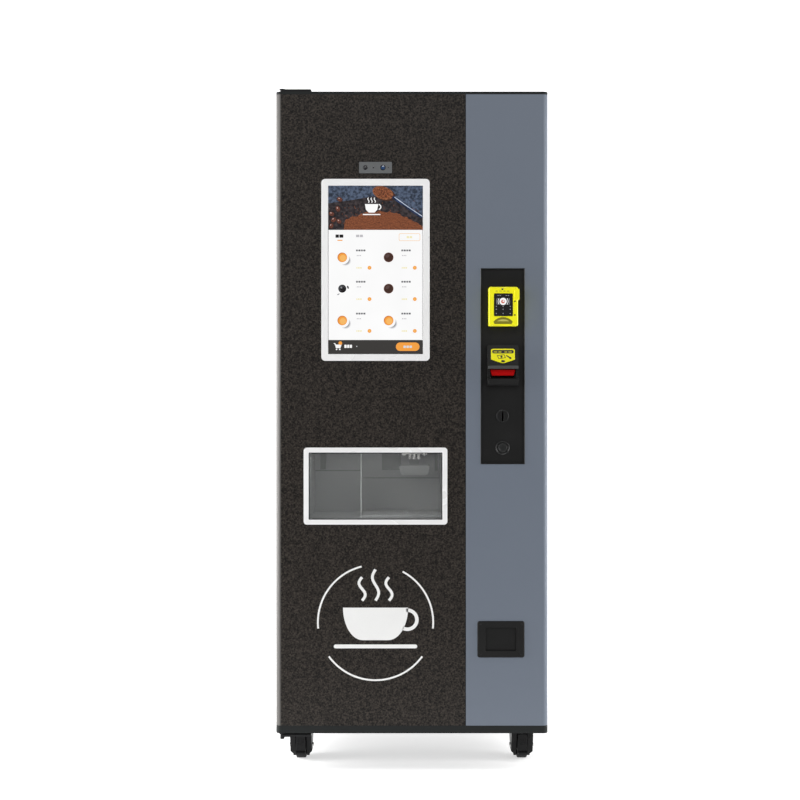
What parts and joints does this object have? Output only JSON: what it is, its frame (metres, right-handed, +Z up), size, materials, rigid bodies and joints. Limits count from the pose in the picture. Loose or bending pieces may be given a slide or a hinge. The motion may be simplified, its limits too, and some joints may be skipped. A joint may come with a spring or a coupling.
{
  "type": "hot coffee vending machine",
  "caption": "Upright coffee vending machine on casters: hinged full-height door with touch screen, cup window, payment panel and coin return, over a brewing cabinet.",
  "frame": {"origin": "on the floor, under the middle of the bounding box", "axes": "+X to the viewer's right, -Y out of the front door, +Z up"},
  "size_m": [0.77, 0.7, 1.93],
  "materials": {
    "dark_powder": "fine-textured charcoal powder coat",
    "grey_powder": "smooth satin blue-grey paint",
    "dark_frame": "satin dark grey paint",
    "galvanised": "galvanised sheet",
    "black_hardware": "black coated steel",
    "chamber_grey": "satin grey paint",
    "clear_acrylic": "clear polished acrylic",
    "smoked_acrylic": "smoked clear plastic",
    "light_plastic": "light grey moulded plastic",
    "white_plastic": "white moulded plastic",
    "milky_plastic": "milky translucent plastic",
    "black_plastic": "black moulded plastic, fine texture",
    "grey_plastic": "mid grey moulded plastic",
    "yellow_plastic": "bright yellow satin plastic",
    "screen_black": "glossy display glass over a black module",
    "stainless": "brushed stainless steel",
    "paper_cup": "uncoated paper board",
    "caster_black": "black glass-filled nylon",
    "soft_rubber": "black rubber"
  },
  "bodies": {
    "cabinet": {"base_frame": "dark_frame", "left_side_panel": "dark_powder", "right_side_panel": "dark_powder", "roof_panel": "dark_powder", "rear_panel": "galvanised", "door_hinges": "black_hardware", "module_shelves": "galvanised", "cup_chamber": "chamber_grey", "chamber_divider": "clear_acrylic", "drip_tray": "chamber_grey", "spout_funnel": "light_plastic", "spout_nozzles": "stainless", "brew_unit": "grey_plastic", "grinder": "black_plastic", "bean_hopper": "smoked_acrylic", "powder_canisters": "milky_plastic", "mixer_bowl": "black_plastic", "turret_base": "galvanised", "boiler": "stainless", "control_box": "galvanised", "waste_bin": "black_plastic", "water_tank": "milky_plastic", "fan_frame": "black_plastic", "cable_gland": "black_plastic", "caster_plates": "black_hardware"},
    "door": {"door_frame": "dark_frame", "dark_front_panel": "dark_powder", "grey_front_panel": "grey_powder", "door_gasket": "soft_rubber", "screen_bezel": "stainless", "touch_screen": "screen_black", "camera_bar": "grey_plastic", "window_frame": "stainless", "window_tunnel": "chamber_grey", "payment_panel": "black_plastic", "card_reader": "yellow_plastic", "bill_validator": "black_plastic", "coin_entry": "black_plastic", "coin_return_cup": "black_plastic", "lock_body": "black_hardware"},
    "pickup_pane": {"window_pane": "clear_acrylic"},
    "coin_button": {"coin_return_button": "black_plastic"},
    "coin_flap": {"coin_return_flap": "black_plastic"},
    "lock": {"lock_handle": "stainless"},
    "hopper_lid": {"hopper_lid": "smoked_acrylic"},
    "piston": {"brew_piston": "white_plastic"},
    "whipper": {"whipper": "white_plastic"},
    "turret": {"cup_turret": "white_plastic", "cup_stacks": "paper_cup"},
    "fan": {"fan_rotor": "black_plastic"},
    "fork_front_left": {"caster_fork_front_left": "caster_black"},
    "wheel_front_left": {"caster_wheel_front_left": "soft_rubber"},
    "fork_front_right": {"caster_fork_front_right": "caster_black"},
    "wheel_front_right": {"caster_wheel_front_right": "soft_rubber"},
    "fork_rear_left": {"caster_fork_rear_left": "caster_black"},
    "wheel_rear_left": {"caster_wheel_rear_left": "soft_rubber"},
    "fork_rear_right": {"caster_fork_rear_right": "caster_black"},
    "wheel_rear_right": {"caster_wheel_rear_right": "soft_rubber"},
    "pedal_left": {"brake_pedal_left": "caster_black"},
    "pedal_right": {"brake_pedal_right": "caster_black"}
  },
  "joints": [
    {"name": "door_hinge", "type": "hinge", "parent": "cabinet", "child": "door", "pos_m": [-0.368, -0.3, 0.105], "axis": [0, 0, -1], "range_deg": [0, 110]},
    {"name": "pane_lift", "type": "slide", "parent": "door", "child": "pickup_pane", "axis": [0, 0, 1], "range_m": [0, 0.19]},
    {"name": "coin_button_press", "type": "slide", "parent": "door", "child": "coin_button", "axis": [0, 1, 0], "range_m": [0, 0.004], "stiffness_N_per_m": 300},
    {"name": "coin_flap_swing", "type": "hinge", "parent": "door", "child": "coin_flap", "pos_m": [0.2515, -0.3135, 0.407], "axis": [1, 0, 0], "range_deg": [0, 55]},
    {"name": "lock_turn", "type": "hinge", "parent": "door", "child": "lock", "pos_m": [0.351, -0.27, 1.02], "axis": [-1, 0, 0], "range_deg": [0, 90]},
    {"name": "hopper_lid_hinge", "type": "hinge", "parent": "cabinet", "child": "hopper_lid", "pos_m": [-0.303, -0.0005, 1.6611], "axis": [-1, 0, 0], "range_deg": [0, 95]},
    {"name": "piston_slide", "type": "slide", "parent": "cabinet", "child": "piston", "axis": [0, 0, 1], "range_m": [0, 0.04]},
    {"name": "whipper_spin", "type": "hinge", "parent": "cabinet", "child": "whipper", "pos_m": [-0.098, -0.124, 0.9948], "axis": [0, 1, 0], "continuous": true},
    {"name": "turret_spin", "type": "hinge", "parent": "cabinet", "child": "turret", "pos_m": [0.2, 0.066, 1.1688], "axis": [0, 0, 1], "continuous": true},
    {"name": "fan_spin", "type": "hinge", "parent": "cabinet", "child": "fan", "pos_m": [-0.1, 0.321, 1.69], "axis": [0, 1, 0], "continuous": true},
    {"name": "swivel_front_left", "type": "hinge", "parent": "cabinet", "child": "fork_front_left", "pos_m": [-0.322, -0.15, 0.0375], "axis": [0, 0, 1], "continuous": true},
    {"name": "roll_front_left", "type": "hinge", "parent": "fork_front_left", "child": "wheel_front_left", "pos_m": [-0.322, -0.181, 0.0375], "axis": [1, 0, 0], "continuous": true},
    {"name": "swivel_front_right", "type": "hinge", "parent": "cabinet", "child": "fork_front_right", "pos_m": [0.322, -0.15, 0.0375], "axis": [0, 0, 1], "continuous": true},
    {"name": "roll_front_right", "type": "hinge", "parent": "fork_front_right", "child": "wheel_front_right", "pos_m": [0.322, -0.181, 0.0375], "axis": [1, 0, 0], "continuous": true},
    {"name": "swivel_rear_left", "type": "hinge", "parent": "cabinet", "child": "fork_rear_left", "pos_m": [-0.322, 0.285, 0.0375], "axis": [0, 0, 1], "continuous": true},
    {"name": "roll_rear_left", "type": "hinge", "parent": "fork_rear_left", "child": "wheel_rear_left", "pos_m": [-0.322, 0.254, 0.0375], "axis": [1, 0, 0], "continuous": true},
    {"name": "swivel_rear_right", "type": "hinge", "parent": "cabinet", "child": "fork_rear_right", "pos_m": [0.322, 0.285, 0.0375], "axis": [0, 0, 1], "continuous": true},
    {"name": "roll_rear_right", "type": "hinge", "parent": "fork_rear_right", "child": "wheel_rear_right", "pos_m": [0.322, 0.254, 0.0375], "axis": [1, 0, 0], "continuous": true},
    {"name": "pedal_left", "type": "hinge", "parent": "fork_front_left", "child": "pedal_left", "pos_m": [-0.322, -0.2085, 0.072], "axis": [1, 0, 0], "range_deg": [0, 2.5]},
    {"name": "pedal_right", "type": "hinge", "parent": "fork_front_right", "child": "pedal_right", "pos_m": [0.322, -0.2085, 0.072], "axis": [1, 0, 0], "range_deg": [0, 2.5]}
  ]
}
